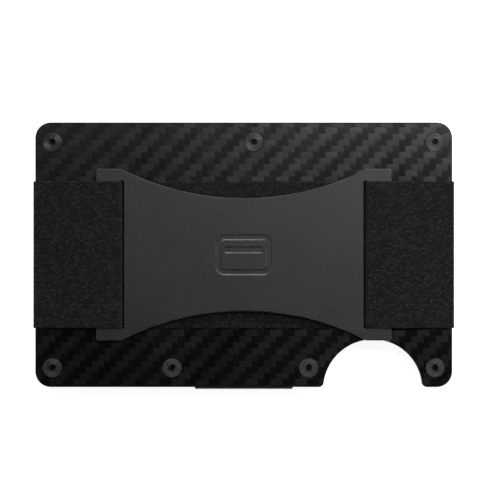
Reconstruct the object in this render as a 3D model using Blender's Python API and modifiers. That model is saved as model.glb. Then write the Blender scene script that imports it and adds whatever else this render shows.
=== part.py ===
"""Minimalist card wallet with an elastic cash strap, lying strap side up.

Two mirror-image halves, each a carbon-fibre outer plate screwed to an aluminium inner plate, are held
together by elastic bands that run in channels between the plates. A third band goes round the back
outer plate and is woven through the slots of a metal strap plate, which clamps banknotes.

+X runs along the long side, +Y across it and +Z from the front plate to the strap. The origin is
the centre of the front outer plate's outer face.
"""

import math

import bmesh
import bpy
from mathutils import Matrix

MM = 0.001
WELD = 0.001 * MM

# Outer plates: 86 x 54.6 mm, a little larger than an ID-1 card.
PLATE_LENGTH = 86.0 * MM
PLATE_WIDTH = 54.6 * MM
PLATE_THICK = 1.2 * MM
CORNER_R = 3.2 * MM

# GAP is the play left between pieces that press on each other.
GAP = 0.05 * MM

# Inner plates: inset from the outer ones. A T-shaped channel in the outer side holds the elastic and
# leaves a thin floor, and the edges are stepped back where the elastic goes round them.
INNER_FLOOR = 0.75 * MM
CHANNEL = 1.25 * MM
INNER_THICK = INNER_FLOOR + CHANNEL - GAP
INNER_INSET = 0.3 * MM
RELIEF_DEPTH = 0.5 * MM
BAND_CLEARANCE = 0.5 * MM
CARD_GAP = 0.3 * MM

# Thumb notch in the lower edge, through every plate.
NOTCH_R = 10.25 * MM
NOTCH_X = 26.65 * MM
NOTCH_Y = -PLATE_WIDTH / 2 - 0.45 * MM
NOTCH_LIP_R = 1.0 * MM

# Countersunk M2 x 3 screws, seven to a half.
SCREW_ROW_Y = 23.3 * MM
SCREW_SIDE_X = 39.5 * MM
SCREW_TOP_X = 2.1 * MM
SCREW_LOW_X = (-14.8 * MM, 13.4 * MM)
HEAD_R = 1.95 * MM
HEAD_LIP = 0.05 * MM
SHANK_R = 0.95 * MM
SCREW_LENGTH = 3.0 * MM
HEAD_SUNK = 0.05 * MM
SINK_CLEARANCE = 0.05 * MM
SHANK_CLEARANCE = 0.1 * MM
STAR_R = 0.72 * MM
STAR_VALLEY_R = 0.52 * MM
STAR_DEPTH = 0.55 * MM
STAR_POINTS = 6
SCREW_TIP = 0.2 * MM

# Elastic bands.
BAND_THICK = 0.35 * MM
BEND_R = 0.1 * MM + BAND_THICK / 2
CARD_BAND_WIDTH = 30.3 * MM
CARD_BAND_SIDE_GAP = 0.1 * MM
BOTTOM_BAND_WIDTH = 20.2 * MM
BOTTOM_BAND_PROUD = 0.44 * MM
BOTTOM_BAND_BEND_R = 1.2 * MM
BOTTOM_BAND_LAP_Y = -9.0 * MM
STRAP_BAND_WIDTH = 30.3 * MM

# Strap plate: a waisted metal plate with a slot near each end.
STRAP_HALF_LENGTH = 30.45 * MM
STRAP_HALF_WIDTH = 17.7 * MM
STRAP_WAIST_HALF = 11.65 * MM
STRAP_ARC_HALF_CHORD = 25.3 * MM
STRAP_THICK = 1.0 * MM
STRAP_CORNER_R = 0.5 * MM
SLOT_INNER_X = 24.7 * MM
SLOT_WIDTH = 1.1 * MM
SLOT_CLEARANCE = 0.1 * MM
SLOT_CORNER_R = 0.3 * MM
STRAP_BEND_R = 0.52 * MM
STRAP_KNEE_X = 30.6 * MM
STRAP_FOOT_X = 42.4 * MM

# Card emblem engraved in the strap plate: a rounded frame with a stripe.
EMBLEM_LENGTH = 11.4 * MM
EMBLEM_WIDTH = 8.2 * MM
EMBLEM_CORNER_R = 1.7 * MM
EMBLEM_LINE = 1.0 * MM
EMBLEM_STRIPE_Y = 1.0 * MM
EMBLEM_STRIPE_HALF_LENGTH = 3.9 * MM
EMBLEM_STRIPE_WIDTH = 1.2 * MM
STRIPE_CORNER_R = 0.3 * MM
EMBLEM_DEPTH = 0.2 * MM

# Faceting of the round stretches.
CORNER_STEPS = 6
NOTCH_STEPS = 24
LIP_STEPS = 5
ARC_STEPS = 28
BEND_STEPS = 4
ROUND_STEPS = 24
SMALL_CORNER_STEPS = 3
SCREW_STEPS = 20

# Levels of the stack, from the front face up.
FRONT_INNER_Z = PLATE_THICK + GAP
BACK_INNER_Z = FRONT_INNER_Z + INNER_THICK + CARD_GAP
BACK_OUTER_Z = BACK_INNER_Z + INNER_THICK + GAP
BACK_FACE_Z = BACK_OUTER_Z + PLATE_THICK
MIDDLE_Z = BACK_FACE_Z / 2
STRAP_Z = BACK_FACE_Z + BAND_THICK + 2 * GAP

# Where each band runs, measured from the middle of the closed wallet to the band's own middle.
LAYER = BAND_THICK + GAP
CARD_RUN_Z = CARD_GAP / 2 + INNER_FLOOR + GAP + BAND_THICK / 2
LAP_RUN_Z = CARD_RUN_Z + LAYER
STRAP_RUN_Z = LAP_RUN_Z + LAYER

COLOURS = {
    "carbon_fibre": ((0.030, 0.030, 0.032, 1.0), 0.45, 0.0),
    "inner_plate": ((0.020, 0.020, 0.022, 1.0), 0.40, 0.9),
    "strap_metal": ((0.065, 0.065, 0.067, 1.0), 0.45, 0.8),
    "screw_steel": ((0.060, 0.060, 0.062, 1.0), 0.35, 0.9),
    "elastic": ((0.012, 0.012, 0.013, 1.0), 0.90, 0.0),
}


# ---------------------------------------------------------------- scene, materials, mesh helpers


def clear_scene():
    for obj in list(bpy.data.objects):
        bpy.data.objects.remove(obj, do_unlink=True)


def new_collection(name):
    group = bpy.data.collections.new(name)
    bpy.context.scene.collection.children.link(group)
    return group


def new_material(name):
    colour, roughness, metallic = COLOURS[name]
    material = bpy.data.materials.new(name)
    material.use_nodes = True
    shader = material.node_tree.nodes["Principled BSDF"]
    shader.inputs["Base Color"].default_value = colour
    shader.inputs["Roughness"].default_value = roughness
    shader.inputs["Metallic"].default_value = metallic
    material.diffuse_color = colour
    return material


def mesh_object(name, mesh, group, material=None):
    obj = bpy.data.objects.new(name, mesh)
    if material is not None:
        mesh.materials.clear()
        mesh.materials.append(material)
    group.objects.link(obj)
    return obj


def evaluated_mesh(obj, name):
    """The object's mesh as its modifiers leave it, with loose caps welded."""
    bpy.context.view_layer.update()
    graph = bpy.context.evaluated_depsgraph_get()
    mesh = bpy.data.meshes.new_from_object(obj.evaluated_get(graph))
    mesh.name = name
    work = bmesh.new()
    work.from_mesh(mesh)
    bmesh.ops.remove_doubles(work, verts=work.verts, dist=WELD)
    bmesh.ops.recalc_face_normals(work, faces=work.faces)
    work.to_mesh(mesh)
    work.free()
    return mesh


def flat_solid(name, outlines, low, high, group, material=None):
    """A flat piece between two levels. The first outline is its edge, and the others are holes."""
    curve = bpy.data.curves.new(name + "_outline", "CURVE")
    curve.dimensions = "2D"
    curve.fill_mode = "BOTH"
    curve.extrude = (high - low) / 2
    for outline in outlines:
        spline = curve.splines.new("POLY")
        spline.points.add(len(outline) - 1)
        for point, (x, y) in zip(spline.points, outline):
            point.co = (x, y, 0.0, 1.0)
        spline.use_cyclic_u = True
    guide = bpy.data.objects.new(name + "_outline", curve)
    group.objects.link(guide)
    guide.location.z = (low + high) / 2
    mesh = evaluated_mesh(guide, name)
    obj = mesh_object(name, mesh, group, material)
    obj.matrix_world = guide.matrix_world.copy()
    bpy.data.objects.remove(guide, do_unlink=True)
    bpy.data.curves.remove(curve)
    return obj


def combine(obj, tool, operation):
    boolean = obj.modifiers.new(tool.name, "BOOLEAN")
    boolean.object = tool
    boolean.operation = operation
    boolean.solver = "EXACT"
    tool.hide_render = True
    tool.display_type = "WIRE"


def round_tool(name, radius, x, y, low, high, group):
    """A cylinder between two levels."""
    work = bmesh.new()
    bmesh.ops.create_cone(
        work, cap_ends=True, segments=ROUND_STEPS, radius1=radius, radius2=radius, depth=high - low
    )
    mesh = bpy.data.meshes.new(name)
    work.to_mesh(mesh)
    work.free()
    tool = mesh_object(name, mesh, group)
    tool.location = (x, y, (low + high) / 2)
    return tool


def turned_mesh(name, profile, steps, group):
    """A solid turned about Z. Its profile runs from the top of the axis to the bottom."""
    mesh = bpy.data.meshes.new(name + "_profile")
    points = [(x, 0.0, z) for x, z in profile]
    mesh.from_pydata(points, [(i, i + 1) for i in range(len(points) - 1)], [])
    guide = mesh_object(name + "_profile", mesh, group)
    turn = guide.modifiers.new("Turn", "SCREW")
    turn.steps = steps
    turn.render_steps = steps
    turn.use_merge_vertices = True
    turn.merge_threshold = WELD
    solid = evaluated_mesh(guide, name)
    bpy.data.objects.remove(guide, do_unlink=True)
    bpy.data.meshes.remove(mesh)
    return solid


def box_tool(name, corner, opposite, low, high, group):
    """A box between two corners seen from above, and between two levels."""
    size = (opposite[0] - corner[0], opposite[1] - corner[1], high - low)
    centre = ((opposite[0] + corner[0]) / 2, (opposite[1] + corner[1]) / 2, (high + low) / 2)
    work = bmesh.new()
    bmesh.ops.create_cube(work, size=1.0, matrix=Matrix.Diagonal((*size, 1.0)))
    mesh = bpy.data.meshes.new(name)
    work.to_mesh(mesh)
    work.free()
    tool = mesh_object(name, mesh, group)
    tool.location = centre
    return tool


# ---------------------------------------------------------------------------------- outlines


def arc(centre, radius, start, end, steps):
    """Points from one angle to another, both ends included."""
    points = []
    for step in range(steps + 1):
        angle = math.radians(start + (end - start) * step / steps)
        points.append((centre[0] + radius * math.cos(angle), centre[1] + radius * math.sin(angle)))
    return points


def rounded_rectangle(half_x, half_y, radius, centre=(0.0, 0.0)):
    points = []
    for quarter, (sx, sy) in enumerate(((1, 1), (-1, 1), (-1, -1), (1, -1))):
        corner = (centre[0] + sx * (half_x - radius), centre[1] + sy * (half_y - radius))
        points += arc(corner, radius, 90 * quarter, 90 * quarter + 90, SMALL_CORNER_STEPS)
    return points


def notch_edge(half_y):
    """The lower edge from left to right: round lip, thumb arc, round lip."""
    lip_y = -half_y + NOTCH_LIP_R
    reach = NOTCH_R + NOTCH_LIP_R
    lip_dx = math.sqrt(reach**2 - (lip_y - NOTCH_Y) ** 2)
    turn = math.degrees(math.asin((lip_y - NOTCH_Y) / reach))
    left = arc((NOTCH_X - lip_dx, lip_y), NOTCH_LIP_R, -90, -turn, LIP_STEPS)
    thumb = arc((NOTCH_X, NOTCH_Y), NOTCH_R, 180 - turn, turn, NOTCH_STEPS)
    right = arc((NOTCH_X + lip_dx, lip_y), NOTCH_LIP_R, 180 + turn, 270, LIP_STEPS)
    return left + thumb[1:-1] + right


def plate_outline(inset):
    """A plate's edge, anticlockwise from its lower left corner."""
    half_x = PLATE_LENGTH / 2 - inset
    half_y = PLATE_WIDTH / 2 - inset
    radius = CORNER_R - inset
    corners = [
        arc((sx * (half_x - radius), sy * (half_y - radius)), radius, start, start + 90, CORNER_STEPS)
        for sx, sy, start in ((-1, -1, 180), (1, -1, 270), (1, 1, 0), (-1, 1, 90))
    ]
    return corners[0] + notch_edge(half_y) + corners[1] + corners[2] + corners[3]


def screw_places():
    top = [(x, SCREW_ROW_Y) for x in (-SCREW_SIDE_X, SCREW_TOP_X, SCREW_SIDE_X)]
    low = [(x, -SCREW_ROW_Y) for x in (-SCREW_SIDE_X, *SCREW_LOW_X, SCREW_SIDE_X)]
    return top + low


# ------------------------------------------------------------------------------------ plates


def countersunk_tool_mesh(group):
    """The space that a screw needs in an outer plate, with the plate's face at height 0."""
    hole_r = SHANK_R + SHANK_CLEARANCE
    wide_r = HEAD_R + HEAD_LIP + HEAD_SUNK + SINK_CLEARANCE
    over = 0.2 * MM
    deep = PLATE_THICK + over
    profile = [
        (0.0, over),
        (wide_r + over, over),
        (hole_r, hole_r - wide_r),
        (hole_r, -deep),
        (0.0, -deep),
    ]
    return turned_mesh("countersunk_hole", profile, ROUND_STEPS, group)


def make_outer_plate(name, low, face_up, hole_mesh, group, cutters, material):
    """A carbon-fibre plate with seven countersunk holes, their wide ends on its outer face."""
    plate = flat_solid(name, [plate_outline(0.0)], low, low + PLATE_THICK, group, material)
    for index, (x, y) in enumerate(screw_places(), start=1):
        hole = mesh_object(f"{name}_hole_{index}", hole_mesh, cutters)
        hole.location = (x, y, low + PLATE_THICK if face_up else low)
        hole.rotation_euler.x = 0.0 if face_up else math.pi
        combine(plate, hole, "DIFFERENCE")
    return plate


def band_cuts(name, low, high, channel_low, channel_high, group):
    """Tools for a T-shaped channel in one side, and for the shallow steps where it meets the edges."""
    edge_x = PLATE_LENGTH / 2 - INNER_INSET - RELIEF_DEPTH
    edge_y = PLATE_WIDTH / 2 - INNER_INSET - RELIEF_DEPTH
    bar = CARD_BAND_WIDTH / 2 + BAND_CLEARANCE
    stem = BOTTOM_BAND_WIDTH / 2 + BAND_CLEARANCE
    out_x = PLATE_LENGTH / 2 + MM
    out_y = PLATE_WIDTH / 2 + MM
    return [
        box_tool(f"{name}_channel_bar", (-out_x, -bar), (out_x, bar), channel_low, channel_high, group),
        box_tool(f"{name}_channel_stem", (-stem, -out_y), (stem, 0.0), channel_low, channel_high, group),
        box_tool(f"{name}_relief_left", (-out_x, -bar), (-edge_x, bar), low, high, group),
        box_tool(f"{name}_relief_right", (edge_x, -bar), (out_x, bar), low, high, group),
        box_tool(f"{name}_relief_low", (-stem, -out_y), (stem, -edge_y), low, high, group),
    ]


def make_inner_plate(name, low, channel_up, group, cutters, material):
    """An aluminium plate with threaded holes and, in its outer side, the channel for the elastic."""
    high = low + INNER_THICK
    plate = flat_solid(name, [plate_outline(INNER_INSET)], low, high, group, material)
    past = (low - MM, high + MM)
    channel = (low + INNER_FLOOR, past[1]) if channel_up else (past[0], high - INNER_FLOOR)
    hole_r = SHANK_R + SHANK_CLEARANCE
    holes = [
        round_tool(f"{name}_hole_{index}", hole_r, x, y, *past, cutters)
        for index, (x, y) in enumerate(screw_places(), start=1)
    ]
    for tool in holes + band_cuts(name, *past, *channel, cutters):
        combine(plate, tool, "DIFFERENCE")
    return plate


# ------------------------------------------------------------------------------------ screws


def screw_mesh(group, cutters):
    """A countersunk screw, its head's face at height 0 and its tip below, with a six-point star."""
    cone_end = -HEAD_LIP - (HEAD_R - SHANK_R)
    profile = [
        (0.0, 0.0),
        (HEAD_R, 0.0),
        (HEAD_R, -HEAD_LIP),
        (SHANK_R, cone_end),
        (SHANK_R, -SCREW_LENGTH + SCREW_TIP),
        (SHANK_R - SCREW_TIP, -SCREW_LENGTH),
        (0.0, -SCREW_LENGTH),
    ]
    body = turned_mesh("screw_body", profile, SCREW_STEPS, group)
    turned = mesh_object("screw_pattern", body, group)
    star = []
    for point in range(2 * STAR_POINTS):
        radius = STAR_R if point % 2 == 0 else STAR_VALLEY_R
        angle = math.pi * point / STAR_POINTS
        star.append((radius * math.cos(angle), radius * math.sin(angle)))
    recess = flat_solid("screw_star", [star], -STAR_DEPTH, MM, cutters)
    combine(turned, recess, "DIFFERENCE")
    finished = evaluated_mesh(turned, "countersunk_screw")
    bpy.data.objects.remove(turned, do_unlink=True)
    bpy.data.objects.remove(recess, do_unlink=True)
    finished.shade_smooth()
    finished.set_sharp_from_angle(angle=math.radians(30))
    return finished


def make_screws(mesh, group, material):
    for index, (x, y) in enumerate(screw_places(), start=1):
        front = mesh_object(f"front_screw_{index}", mesh, group, material)
        front.location = (x, y, HEAD_SUNK)
        front.rotation_euler.x = math.pi
        back = mesh_object(f"back_screw_{index}", mesh, group, material)
        back.location = (x, y, BACK_FACE_Z - HEAD_SUNK)


# ------------------------------------------------------------------------------- elastic bands


def filleted(corners, radii, closed):
    """A path through corners, each corner replaced by an arc of its own radius."""
    points = []
    count = len(corners)
    for index, (x, y) in enumerate(corners):
        at_end = not closed and index in (0, count - 1)
        if at_end or radii[index] == 0:
            points.append((x, y))
            continue
        before = corners[index - 1]
        after = corners[(index + 1) % count]
        heading_in = math.atan2(y - before[1], x - before[0])
        heading_out = math.atan2(after[1] - y, after[0] - x)
        turn = (heading_out - heading_in + math.pi) % (2 * math.pi) - math.pi
        side = math.copysign(1.0, turn)
        setback = radii[index] * math.tan(abs(turn) / 2)
        start_x = x - setback * math.cos(heading_in)
        start_y = y - setback * math.sin(heading_in)
        centre_x = start_x - side * radii[index] * math.sin(heading_in)
        centre_y = start_y + side * radii[index] * math.cos(heading_in)
        for step in range(BEND_STEPS + 1):
            angle = heading_in + turn * step / BEND_STEPS
            px = centre_x + side * radii[index] * math.sin(angle)
            py = centre_y - side * radii[index] * math.cos(angle)
            points.append((px, py))
    return points


def make_band(name, path, closed, width, along_x, group, material):
    """A woven elastic strip that follows a path seen from its edge."""
    work = bmesh.new()
    rows = []
    for across, z in path:
        pair = []
        for side in (-width / 2, width / 2):
            place = (across, side, z) if along_x else (side, across, z)
            pair.append(work.verts.new(place))
        rows.append(pair)
    count = len(rows)
    for index in range(count if closed else count - 1):
        near = rows[index]
        far = rows[(index + 1) % count]
        work.faces.new((near[0], far[0], far[1], near[1]))
    bmesh.ops.recalc_face_normals(work, faces=work.faces)
    mesh = bpy.data.meshes.new(name)
    work.to_mesh(mesh)
    work.free()
    band = mesh_object(name, mesh, group, material)
    thick = band.modifiers.new("Thickness", "SOLIDIFY")
    thick.thickness = BAND_THICK
    thick.offset = 0.0
    thick.use_even_offset = True
    return band


def card_band_path():
    """Round both inner plates by their short edges, inside their reliefs."""
    edge = PLATE_LENGTH / 2 - INNER_INSET - RELIEF_DEPTH
    x = edge + CARD_BAND_SIDE_GAP + BAND_THICK / 2
    low = MIDDLE_Z - CARD_RUN_Z
    high = MIDDLE_Z + CARD_RUN_Z
    corners = [(-x, low), (x, low), (x, high), (-x, high)]
    return filleted(corners, [BEND_R] * 4, closed=True)


def bottom_band_path():
    """From its lap on the card band in one channel, round the lower edge, to the other lap."""
    y = -PLATE_WIDTH / 2 - BOTTOM_BAND_PROUD + BAND_THICK / 2
    low = MIDDLE_Z - LAP_RUN_Z
    high = MIDDLE_Z + LAP_RUN_Z
    corners = [(BOTTOM_BAND_LAP_Y, low), (y, low), (y, high), (BOTTOM_BAND_LAP_Y, high)]
    radii = [0, BOTTOM_BAND_BEND_R, BOTTOM_BAND_BEND_R, 0]
    return filleted(corners, radii, closed=False)


def strap_band_path():
    """Round the back outer plate, over the strap plate's end bars and under its middle."""
    edge = PLATE_LENGTH / 2 + GAP + BAND_THICK / 2
    slot = SLOT_INNER_X + SLOT_WIDTH / 2
    channel = MIDDLE_Z + STRAP_RUN_Z
    face = BACK_FACE_Z + GAP + BAND_THICK / 2
    bar = STRAP_Z + STRAP_THICK + GAP + BAND_THICK / 2
    right = [
        (edge, channel, BEND_R),
        (edge, face, BEND_R),
        (STRAP_FOOT_X, face, MM),
        (STRAP_KNEE_X, bar, MM),
        (slot, bar, STRAP_BEND_R),
        (slot, face, BEND_R),
    ]
    left = [(-x, z, radius) for x, z, radius in reversed(right)]
    stations = right + left
    corners = [(x, z) for x, z, _ in stations]
    radii = [radius for _, _, radius in stations]
    return filleted(corners, radii, closed=True)


# -------------------------------------------------------------------------------- strap plate


def strap_outline():
    """The waisted plate, anticlockwise from the right end's upper corner."""
    sagitta = STRAP_HALF_WIDTH - STRAP_WAIST_HALF
    radius = (STRAP_ARC_HALF_CHORD**2 + sagitta**2) / (2 * sagitta)
    centre_y = STRAP_WAIST_HALF + radius
    sweep = math.degrees(math.asin(STRAP_ARC_HALF_CHORD / radius))
    corner_x = STRAP_HALF_LENGTH - STRAP_CORNER_R
    corner_y = STRAP_HALF_WIDTH - STRAP_CORNER_R
    steps = SMALL_CORNER_STEPS
    return (
        arc((corner_x, corner_y), STRAP_CORNER_R, 0, 90, steps)
        + arc((0.0, centre_y), radius, 270 + sweep, 270 - sweep, ARC_STEPS)
        + arc((-corner_x, corner_y), STRAP_CORNER_R, 90, 180, steps)
        + arc((-corner_x, -corner_y), STRAP_CORNER_R, 180, 270, steps)
        + arc((0.0, -centre_y), radius, 90 + sweep, 90 - sweep, ARC_STEPS)
        + arc((corner_x, -corner_y), STRAP_CORNER_R, 270, 360, steps)
    )


def make_strap_plate(group, cutters, material):
    slot_half_y = STRAP_BAND_WIDTH / 2 + SLOT_CLEARANCE
    slot_x = SLOT_INNER_X + SLOT_WIDTH / 2
    slots = [
        rounded_rectangle(SLOT_WIDTH / 2, slot_half_y, SLOT_CORNER_R, (side * slot_x, 0.0))
        for side in (-1, 1)
    ]
    top = STRAP_Z + STRAP_THICK
    plate = flat_solid("strap_plate", [strap_outline(), *slots], STRAP_Z, top, group, material)
    outside = rounded_rectangle(EMBLEM_LENGTH / 2, EMBLEM_WIDTH / 2, EMBLEM_CORNER_R)
    inside = rounded_rectangle(
        EMBLEM_LENGTH / 2 - EMBLEM_LINE, EMBLEM_WIDTH / 2 - EMBLEM_LINE, EMBLEM_CORNER_R - EMBLEM_LINE
    )
    stripe_size = (EMBLEM_STRIPE_HALF_LENGTH, EMBLEM_STRIPE_WIDTH / 2)
    stripe = rounded_rectangle(*stripe_size, STRIPE_CORNER_R, (0.0, EMBLEM_STRIPE_Y))
    levels = (top - EMBLEM_DEPTH, top + MM)
    combine(plate, flat_solid("emblem_frame", [outside, inside], *levels, cutters), "DIFFERENCE")
    combine(plate, flat_solid("emblem_stripe", [stripe], *levels, cutters), "DIFFERENCE")
    return plate


# -------------------------------------------------------------------------------------- build


def main():
    clear_scene()
    wallet = new_collection("minimalist_wallet")
    cutters = new_collection("cutters")
    look = {name: new_material(name) for name in COLOURS}

    carbon = look["carbon_fibre"]
    hole = countersunk_tool_mesh(cutters)
    make_outer_plate("front_outer_plate", 0.0, False, hole, wallet, cutters, carbon)
    make_outer_plate("back_outer_plate", BACK_OUTER_Z, True, hole, wallet, cutters, carbon)
    aluminium = look["inner_plate"]
    make_inner_plate("front_inner_plate", FRONT_INNER_Z, False, wallet, cutters, aluminium)
    make_inner_plate("back_inner_plate", BACK_INNER_Z, True, wallet, cutters, aluminium)
    make_screws(screw_mesh(wallet, cutters), wallet, look["screw_steel"])
    elastic = look["elastic"]
    make_band("card_band", card_band_path(), True, CARD_BAND_WIDTH, True, wallet, elastic)
    make_band("bottom_band", bottom_band_path(), False, BOTTOM_BAND_WIDTH, False, wallet, elastic)
    make_band("strap_band", strap_band_path(), True, STRAP_BAND_WIDTH, True, wallet, elastic)
    make_strap_plate(wallet, cutters, look["strap_metal"])


main()
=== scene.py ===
"""Looks of the minimalist wallet: every CAD piece gets a finer mesh and a procedural material.

Lengths are in metres. +X runs along the wallet's long side, +Y across it, away from the thumb
notch, and +Z from the front plate to the strap plate. The shared dimensions repeat part.py's.
"""

import math

import bmesh
import bpy
import numpy as np
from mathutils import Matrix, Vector


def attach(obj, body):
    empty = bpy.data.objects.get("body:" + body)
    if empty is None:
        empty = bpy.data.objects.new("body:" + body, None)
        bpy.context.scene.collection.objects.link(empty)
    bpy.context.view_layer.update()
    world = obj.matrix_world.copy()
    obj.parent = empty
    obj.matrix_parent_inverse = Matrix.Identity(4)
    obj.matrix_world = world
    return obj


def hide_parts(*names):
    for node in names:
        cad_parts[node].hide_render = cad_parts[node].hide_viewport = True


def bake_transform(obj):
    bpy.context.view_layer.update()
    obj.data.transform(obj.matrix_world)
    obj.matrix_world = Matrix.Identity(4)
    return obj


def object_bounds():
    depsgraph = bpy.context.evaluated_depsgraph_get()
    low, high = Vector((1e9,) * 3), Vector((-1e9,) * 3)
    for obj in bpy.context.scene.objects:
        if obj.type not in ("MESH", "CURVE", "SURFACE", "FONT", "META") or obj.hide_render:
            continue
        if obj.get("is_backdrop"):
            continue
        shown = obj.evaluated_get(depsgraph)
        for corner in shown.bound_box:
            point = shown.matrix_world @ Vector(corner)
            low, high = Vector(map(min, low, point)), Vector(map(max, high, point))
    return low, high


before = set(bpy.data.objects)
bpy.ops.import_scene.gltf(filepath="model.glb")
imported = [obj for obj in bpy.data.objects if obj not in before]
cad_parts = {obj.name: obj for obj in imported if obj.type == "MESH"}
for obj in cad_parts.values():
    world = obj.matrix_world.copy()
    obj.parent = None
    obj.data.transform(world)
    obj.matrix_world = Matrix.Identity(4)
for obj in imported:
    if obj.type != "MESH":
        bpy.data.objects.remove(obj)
cad_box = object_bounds()

MM = 0.001

# Outer plates.
PLATE_LENGTH = 86.0 * MM
PLATE_WIDTH = 54.6 * MM
PLATE_THICK = 1.2 * MM
CORNER_R = 3.2 * MM
PLATE_EDGE = 0.22 * MM
GAP = 0.05 * MM

# Inner plates, with the elastic's channel in their outer sides.
INNER_FLOOR = 0.75 * MM
INNER_THICK = 1.95 * MM
INNER_INSET = 0.3 * MM
INNER_EDGE = 0.18 * MM
RELIEF_DEPTH = 0.5 * MM
BAND_CLEARANCE = 0.5 * MM
CARD_GAP = 0.3 * MM

# Thumb notch.
NOTCH_R = 10.25 * MM
NOTCH_X = 26.65 * MM
NOTCH_Y = -PLATE_WIDTH / 2 - 0.45 * MM
NOTCH_LIP_R = 1.0 * MM

# Screws.
SCREW_ROW_Y = 23.3 * MM
SCREW_SIDE_X = 39.5 * MM
SCREW_TOP_X = 2.1 * MM
SCREW_LOW_X = (-14.8 * MM, 13.4 * MM)
HEAD_R = 1.95 * MM
HEAD_LIP = 0.05 * MM
HEAD_SUNK = 0.05 * MM
SHANK_R = 0.95 * MM
SCREW_LENGTH = 3.0 * MM
SCREW_TIP = 0.2 * MM
HOLE_R = SHANK_R + 0.1 * MM
SINK_R = HEAD_R + 0.07 * MM
SINK_RIM = 0.04 * MM
STAR_R = 0.72 * MM
STAR_VALLEY_R = 0.52 * MM
STAR_DEPTH = 0.55 * MM
STAR_EDGE = 0.1 * MM
STAR_POINTS = 6
GROOVE_PITCH = 0.12 * MM
GROOVE_DEPTH = 0.008 * MM
RIM_ROUND = 0.04 * MM
RIM_SHOULDER = 0.3 * RIM_ROUND
THREAD_PITCH = 0.4 * MM
THREAD_DEPTH = 0.12 * MM

# How far each screw is turned from the last, in degrees, so that no two recesses look alike.
FRONT_SCREW_TURN = 23
BACK_SCREW_TURN = 17

# Elastic bands.
BAND_THICK = 0.35 * MM
BEND_R = 0.1 * MM + BAND_THICK / 2
BAND_WIDTH = 30.3 * MM
CARD_BAND_SIDE_GAP = 0.1 * MM
BOTTOM_BAND_WIDTH = 20.2 * MM
BOTTOM_BAND_PROUD = 0.44 * MM
BOTTOM_BAND_BEND_R = 1.2 * MM
BOTTOM_BAND_LAP_Y = -9.0 * MM

# Strap plate.
STRAP_HALF_LENGTH = 30.45 * MM
STRAP_HALF_WIDTH = 17.7 * MM
STRAP_WAIST_HALF = 11.65 * MM
STRAP_ARC_HALF_CHORD = 25.3 * MM
STRAP_THICK = 1.0 * MM
STRAP_CORNER_R = 0.5 * MM
STRAP_EDGE = 0.22 * MM
SLOT_INNER_X = 24.7 * MM
SLOT_WIDTH = 1.1 * MM
SLOT_CLEARANCE = 0.1 * MM
SLOT_CORNER_R = 0.3 * MM
SLOT_EDGE = 0.1 * MM
SLOT_ROUND = 0.35 * SLOT_EDGE
STRAP_BEND_R = 0.52 * MM
STRAP_KNEE_X = 30.6 * MM
STRAP_FOOT_X = 42.4 * MM

# Card emblem: a rounded frame with a stripe.
EMBLEM_LENGTH = 11.4 * MM
EMBLEM_WIDTH = 8.2 * MM
EMBLEM_CORNER_R = 1.7 * MM
EMBLEM_LINE = 1.0 * MM
EMBLEM_STRIPE_Y = 1.0 * MM
EMBLEM_STRIPE_HALF_LENGTH = 3.9 * MM
EMBLEM_STRIPE_WIDTH = 1.2 * MM
STRIPE_CORNER_R = 0.3 * MM
EMBLEM_DEPTH = 0.2 * MM
EMBLEM_SLOPE = 0.26 * MM
ISLAND_FOOT = 1.5 * EMBLEM_DEPTH

# Levels of the stack, from the front face up.
FRONT_INNER_Z = PLATE_THICK + GAP
BACK_INNER_Z = FRONT_INNER_Z + INNER_THICK + CARD_GAP
BACK_OUTER_Z = BACK_INNER_Z + INNER_THICK + GAP
BACK_FACE_Z = BACK_OUTER_Z + PLATE_THICK
MIDDLE_Z = BACK_FACE_Z / 2
STRAP_Z = BACK_FACE_Z + BAND_THICK + 2 * GAP
LAYER = BAND_THICK + GAP
CARD_RUN_Z = CARD_GAP / 2 + INNER_FLOOR + GAP + BAND_THICK / 2
LAP_RUN_Z = CARD_RUN_Z + LAYER
STRAP_RUN_Z = LAP_RUN_Z + LAYER

# How far cutting tools reach past a face that they cut, and past a whole plate.
CUT_PAST = 0.3 * MM
CUT_CLEAR = 1.0 * MM

# Faceting of the round stretches, and the angles above which an edge stays crisp.
CORNER_STEPS = 16
NOTCH_STEPS = 80
LIP_STEPS = 10
ARC_STEPS = 96
BEND_STEPS = 10
SMALL_CORNER_STEPS = 8
HOLE_STEPS = 72
SCREW_STEPS = 80
EDGE_STEPS = 3
CRISP = math.radians(12)
BAND_CRISP = math.radians(60)

# The elastic's ribs along the band and its picks across it, and how far they stand up.
RIB_PITCH = 1.01 * MM
RIB_SAMPLES = 4
ROW_PITCH = 0.5 * MM
PICK_PITCH = 0.85 * MM
RIB_HEIGHT = 0.022 * MM
LOWEST_PICK = 0.35
SELVEDGE_RISE = 0.012 * MM
SELVEDGE_THIN = 0.45
CARD_BAND_SEED = 3
BOTTOM_BAND_SEED = 5
STRAP_BAND_SEED = 11
SHORTEST = 1e-12

# What the camera sees: 103.15 mm across the image at the level of the plate's face.
VIEW_ACROSS = 103.15 * MM
VIEW_X = 1.28 * MM
VIEW_Y = 0.97 * MM
LENS = 500.0
SENSOR = 36.0


# ---------------------------------------------------------------------------------- outlines


def arc(centre, radius, start, end, steps):
    """Points from one angle to another, both ends included."""
    points = []
    for step in range(steps + 1):
        angle = math.radians(start + (end - start) * step / steps)
        points.append((centre[0] + radius * math.cos(angle), centre[1] + radius * math.sin(angle)))
    return points


def rounded_rectangle(half_x, half_y, radius, centre=(0.0, 0.0)):
    """A rectangle with round corners, anticlockwise from the upper right one."""
    points = []
    for quarter, (sx, sy) in enumerate(((1, 1), (-1, 1), (-1, -1), (1, -1))):
        corner = (centre[0] + sx * (half_x - radius), centre[1] + sy * (half_y - radius))
        points += arc(corner, radius, 90 * quarter, 90 * quarter + 90, SMALL_CORNER_STEPS)
    return points


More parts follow.
